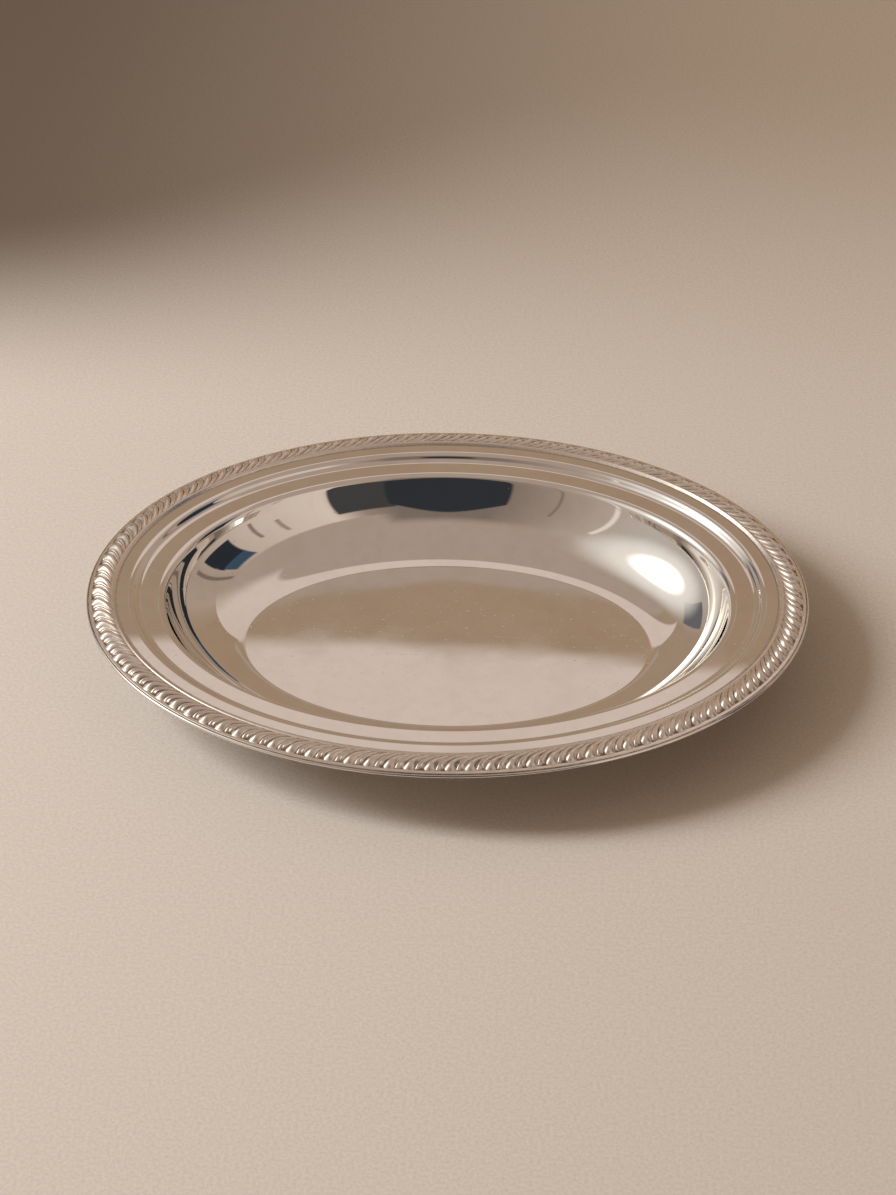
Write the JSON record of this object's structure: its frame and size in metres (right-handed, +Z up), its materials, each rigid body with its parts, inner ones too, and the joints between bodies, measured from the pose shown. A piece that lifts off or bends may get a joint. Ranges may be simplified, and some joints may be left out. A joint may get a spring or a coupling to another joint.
{
  "type": "oval serving dish",
  "caption": "Oval silver-plated serving dish with a flat-bottomed well, a stepped flange, an edge wire and a raised gadrooned border soldered along the rim.",
  "frame": {"origin": "under the middle of the well, on the surface that the dish stands on", "axes": "+X along the length of the oval, +Y across it towards the back, +Z up out of the well"},
  "size_m": [0.29, 0.232, 0.0301],
  "materials": {
    "silver_plate": "mirror-polished silver plate with light wear",
    "struck_silver": "polished die-struck silver with tarnish in the grooves",
    "soft_solder": "dull grey soft solder"
  },
  "bodies": {
    "root": {"dish_body": "silver_plate", "edge_wire": "silver_plate", "gadroon_mount_back_right": "struck_silver", "gadroon_mount_back_left": "struck_silver", "gadroon_mount_front_left": "struck_silver", "gadroon_mount_front_right": "struck_silver", "solder_fill_back_right": "soft_solder", "solder_fill_back_left": "soft_solder", "solder_fill_front_left": "soft_solder", "solder_fill_front_right": "soft_solder"}
  },
  "joints": []
}
